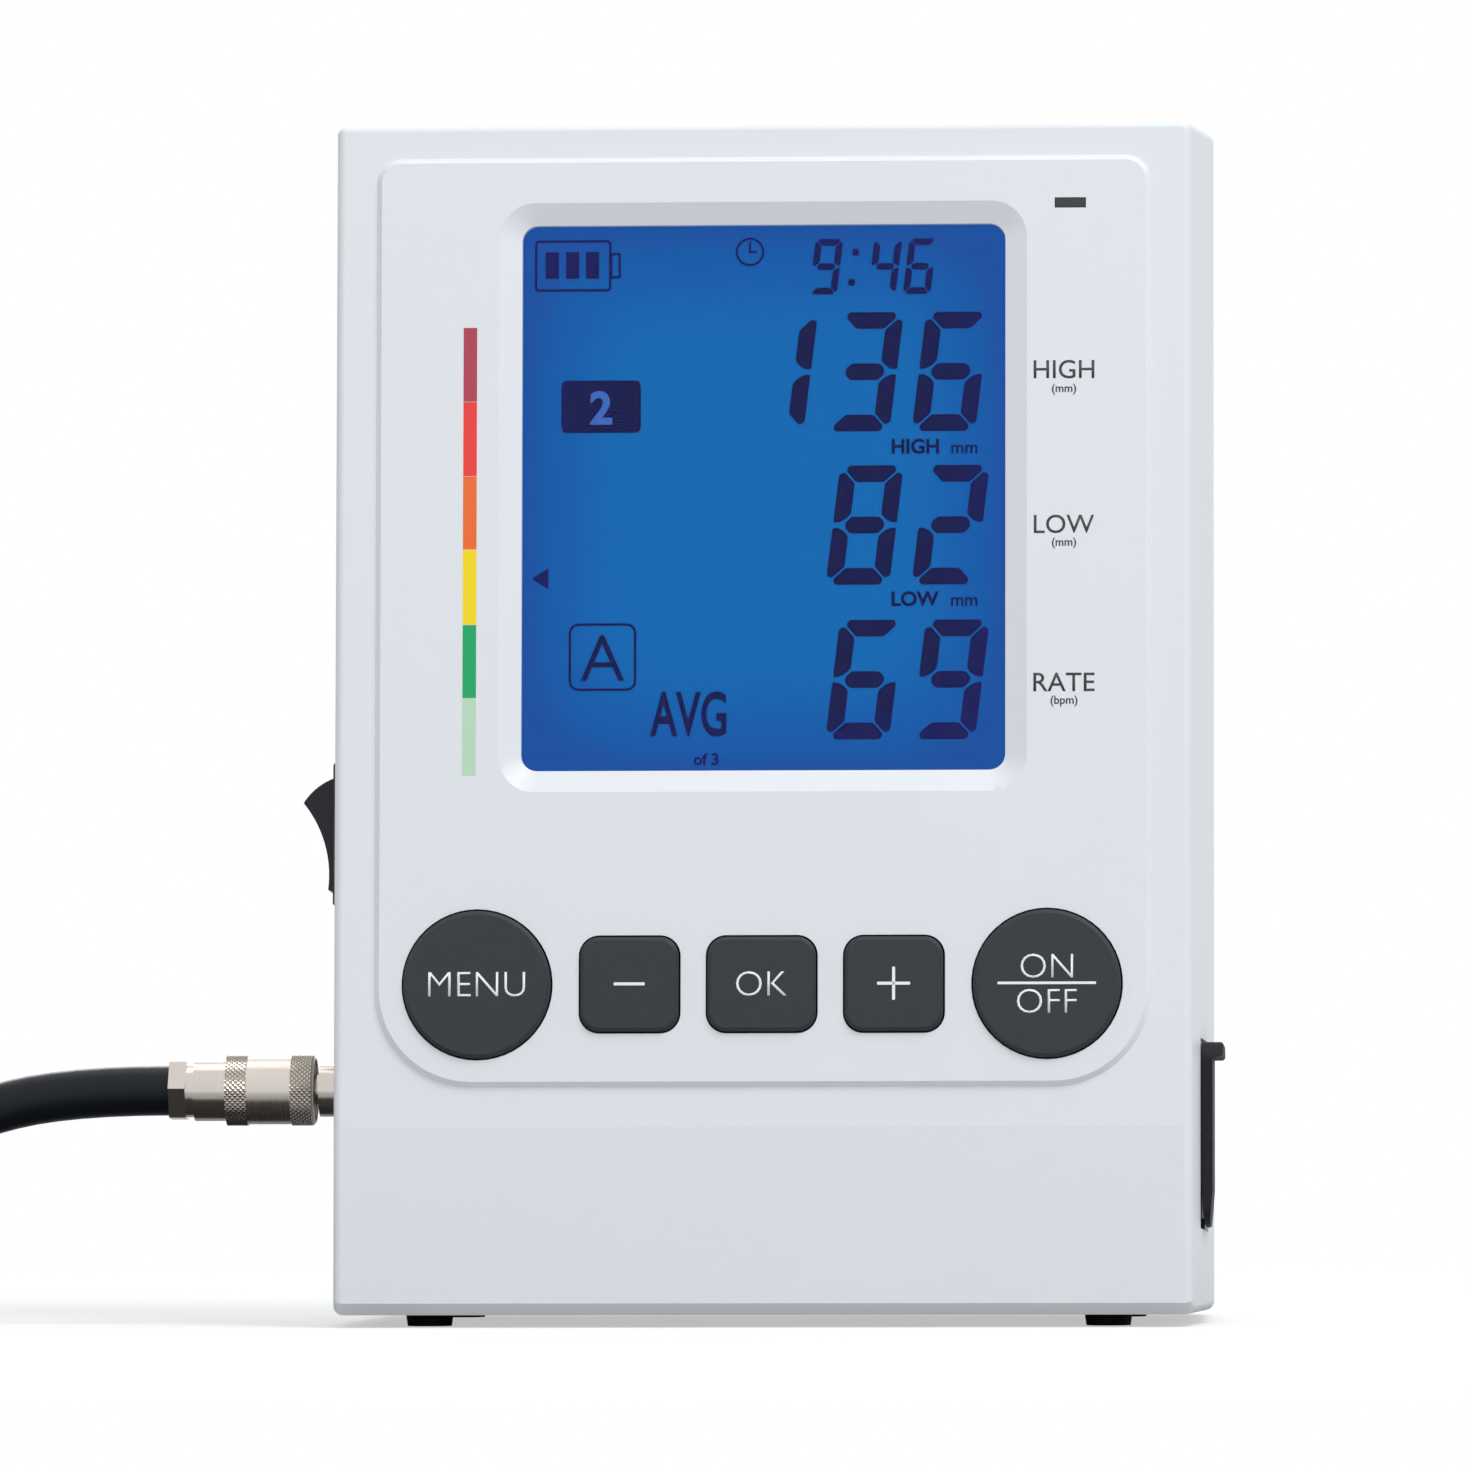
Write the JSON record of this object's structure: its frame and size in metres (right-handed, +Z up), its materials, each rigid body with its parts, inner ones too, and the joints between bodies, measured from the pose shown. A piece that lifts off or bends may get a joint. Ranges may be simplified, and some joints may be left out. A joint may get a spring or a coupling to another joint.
{
  "type": "desktop blood pressure monitor",
  "caption": "Leaning desktop blood pressure monitor with a backlit display, round and square keys, a side rocker and an air hose on a quick coupling.",
  "frame": {"origin": "on the table under the middle of the housing", "axes": "+Z up, the display faces -Y, the rocker and the hose are on the -X side"},
  "size_m": [0.3269, 0.1104, 0.1925],
  "materials": {
    "housing": "satin",
    "window": "gloss",
    "lcd": "gloss",
    "diffuser": "satin",
    "tray": "matte",
    "light_pipe": "gloss",
    "key": "satin",
    "black_plastic": "satin",
    "board": "satin",
    "steel": "brushed",
    "nickel": "polished",
    "cell": "satin",
    "rubber": "matte",
    "clear_rubber": "satin",
    "hose": "satin"
  },
  "bodies": {
    "housing": {"air_hose": "hose", "air_hose_coil": "hose", "air_manifold": "tray", "air_nipple": "nickel", "air_tubes": "clear_rubber", "back_shell": "housing", "backlight": "diffuser", "battery_cells": "cell", "board_screws": "steel", "buzzer": "black_plastic", "cell_contacts": "nickel", "coil_tie": "rubber", "coupling_body": "nickel", "coupling_seal": "rubber", "cuff_connector": "nickel", "display_tray": "tray", "display_window": "window", "flap_anchor": "rubber", "front_shell": "housing", "hose_nut": "nickel", "housing_screws": "steel", "lcd_panel": "lcd", "main_board": "board", "nipple_nut": "nickel", "power_socket": "black_plastic", "pressure_sensor": "black_plastic", "pump_head": "black_plastic", "pump_motor": "steel", "pump_saddle": "rubber", "release_valve": "steel", "rocker_switch": "black_plastic", "rubber_feet": "rubber", "status_led": "diffuser", "status_pipe": "light_pipe", "tact_switches": "black_plastic"},
    "power_rocker": {"power_rocker": "black_plastic"},
    "socket_flap": {"socket_flap": "rubber"},
    "battery_door": {"battery_door": "housing"},
    "coupling_sleeve": {"coupling_sleeve": "nickel"},
    "mode_key": {"mode_key": "key", "mode_key_plunger": "black_plastic"},
    "minus_key": {"minus_key": "key", "minus_key_plunger": "black_plastic"},
    "set_key": {"set_key": "key", "set_key_plunger": "black_plastic"},
    "plus_key": {"plus_key": "key", "plus_key_plunger": "black_plastic"},
    "start_key": {"start_key": "key", "start_key_plunger": "black_plastic"}
  },
  "joints": [
    {"name": "mode_key_press", "type": "slide", "parent": "housing", "child": "mode_key", "axis": [0, 0.9976, -0.0698], "range_m": [0, 0.0008], "stiffness_N_per_m": 1500},
    {"name": "minus_key_press", "type": "slide", "parent": "housing", "child": "minus_key", "axis": [0, 0.9976, -0.0698], "range_m": [0, 0.0008], "stiffness_N_per_m": 1500},
    {"name": "set_key_press", "type": "slide", "parent": "housing", "child": "set_key", "axis": [0, 0.9976, -0.0698], "range_m": [0, 0.0008], "stiffness_N_per_m": 1500},
    {"name": "plus_key_press", "type": "slide", "parent": "housing", "child": "plus_key", "axis": [0, 0.9976, -0.0698], "range_m": [0, 0.0008], "stiffness_N_per_m": 1500},
    {"name": "start_key_press", "type": "slide", "parent": "housing", "child": "start_key", "axis": [0, 0.9976, -0.0698], "range_m": [0, 0.0008], "stiffness_N_per_m": 1500},
    {"name": "power_rocker_tilt", "type": "hinge", "parent": "housing", "child": "power_rocker", "pos_m": [-0.06698, -0.02069, 0.07851], "axis": [0, 0.9976, -0.0698], "range_deg": [0, 32]},
    {"name": "socket_flap_fold", "type": "hinge", "parent": "housing", "child": "socket_flap", "pos_m": [0.07039, -0.02906, 0.01609], "axis": [0, 0.9976, -0.0698], "range_deg": [0, 100], "stiffness_Nm_per_rad": 0.002},
    {"name": "battery_door_hinge", "type": "hinge", "parent": "housing", "child": "battery_door", "pos_m": [0, 0.0441, 0.01781], "axis": [-1, 0, 0], "range_deg": [0, 85]},
    {"name": "coupling_sleeve_release", "type": "slide", "parent": "housing", "child": "coupling_sleeve", "axis": [-1, 0, 0], "range_m": [0, 0.002], "stiffness_N_per_m": 1500}
  ]
}
